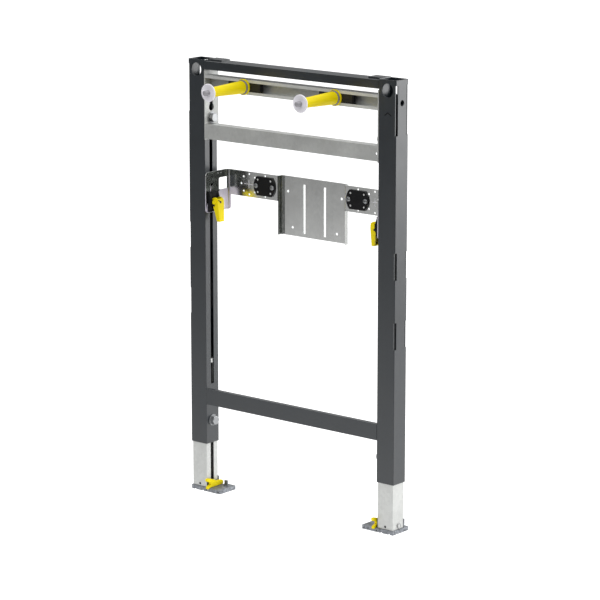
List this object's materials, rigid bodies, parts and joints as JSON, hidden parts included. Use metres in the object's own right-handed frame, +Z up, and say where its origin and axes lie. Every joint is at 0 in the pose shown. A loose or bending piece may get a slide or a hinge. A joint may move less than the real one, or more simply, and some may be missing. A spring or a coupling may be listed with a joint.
{
  "type": "washbasin installation frame",
  "caption": "Steel wall frame that carries a washbasin: slotted posts, C-rail with sleeved studs, a height-adjustable tap traverse with clamps, and telescopic feet.",
  "frame": {"origin": "on the floor, under the middle of the whole part's width and depth", "axes": "+X to the right seen from the front, +Y to the wall behind, +Z up"},
  "size_m": [0.49, 0.1858, 0.837],
  "materials": {
    "frame_paint": "satin anthracite powder coat",
    "galvanised": "galvanised sheet steel",
    "yellow_plastic": "smooth yellow plastic",
    "pale_plastic": "pale lilac-white plastic",
    "black_plastic": "black moulded plastic",
    "grey_rubber": "grey washer",
    "foot_casting": "rough die casting",
    "black_nut": "blackened steel"
  },
  "bodies": {
    "frame": {"top_crossbar": "frame_paint", "lower_crossbar": "frame_paint", "fixing_rail": "galvanised", "support_rail": "galvanised", "left_post": "frame_paint", "right_post": "frame_paint", "left_weld_plate": "frame_paint", "right_weld_plate": "frame_paint", "left_rail_bracket": "galvanised", "right_rail_bracket": "galvanised", "left_bracket_bolt": "galvanised", "right_bracket_bolt": "galvanised", "left_foot_screw": "galvanised", "right_foot_screw": "galvanised"},
    "traverse": {"traverse": "galvanised", "left_tap_plate": "black_plastic", "right_tap_plate": "black_plastic", "left_clamp_housing": "black_plastic", "right_clamp_housing": "black_plastic", "left_clamp_bolt": "galvanised", "right_clamp_bolt": "galvanised", "left_clamp_pin": "galvanised", "right_clamp_pin": "galvanised"},
    "left_clamp": {"left_clamp_lever": "yellow_plastic"},
    "left_stud_set": {"left_sleeve": "yellow_plastic", "left_sleeve_ring": "grey_rubber", "left_sleeve_disc": "pale_plastic", "left_stud": "galvanised", "left_rail_nut": "black_nut"},
    "left_foot": {"left_foot_tube": "galvanised", "left_foot_plate": "foot_casting", "left_foot_pin": "galvanised"},
    "left_pedal": {"left_foot_lever": "yellow_plastic"},
    "right_clamp": {"right_clamp_lever": "yellow_plastic"},
    "right_stud_set": {"right_sleeve": "yellow_plastic", "right_sleeve_ring": "grey_rubber", "right_sleeve_disc": "pale_plastic", "right_stud": "galvanised", "right_rail_nut": "black_nut"},
    "right_foot": {"right_foot_tube": "galvanised", "right_foot_plate": "foot_casting", "right_foot_pin": "galvanised"},
    "right_pedal": {"right_foot_lever": "yellow_plastic"}
  },
  "joints": [
    {"name": "traverse_height", "type": "slide", "parent": "frame", "child": "traverse", "axis": [0, 0, 1], "range_m": [-0.225, 0.055]},
    {"name": "left_clamp_swing", "type": "hinge", "parent": "traverse", "child": "left_clamp", "pos_m": [-0.19, 0.0355, 0.5665], "axis": [0, -1, 0], "range_deg": [0, 95]},
    {"name": "left_stud_spacing", "type": "slide", "parent": "frame", "child": "left_stud_set", "axis": [-1, 0, 0], "range_m": [-0.06, 0.05]},
    {"name": "left_foot_height", "type": "slide", "parent": "frame", "child": "left_foot", "axis": [0, 0, -1], "range_m": [-0.06, 0.105]},
    {"name": "left_pedal_lift", "type": "hinge", "parent": "left_foot", "child": "left_pedal", "pos_m": [-0.2022, 0.0375, 0.0145], "axis": [-1, 0, 0], "range_deg": [0, 12]},
    {"name": "right_clamp_swing", "type": "hinge", "parent": "traverse", "child": "right_clamp", "pos_m": [0.19, 0.0355, 0.5665], "axis": [0, 1, 0], "range_deg": [0, 95]},
    {"name": "right_stud_spacing", "type": "slide", "parent": "frame", "child": "right_stud_set", "axis": [1, 0, 0], "range_m": [-0.06, 0.05]},
    {"name": "right_foot_height", "type": "slide", "parent": "frame", "child": "right_foot", "axis": [0, 0, -1], "range_m": [-0.06, 0.105]},
    {"name": "right_pedal_lift", "type": "hinge", "parent": "right_foot", "child": "right_pedal", "pos_m": [0.2022, 0.0375, 0.0145], "axis": [-1, 0, 0], "range_deg": [0, 12]}
  ]
}
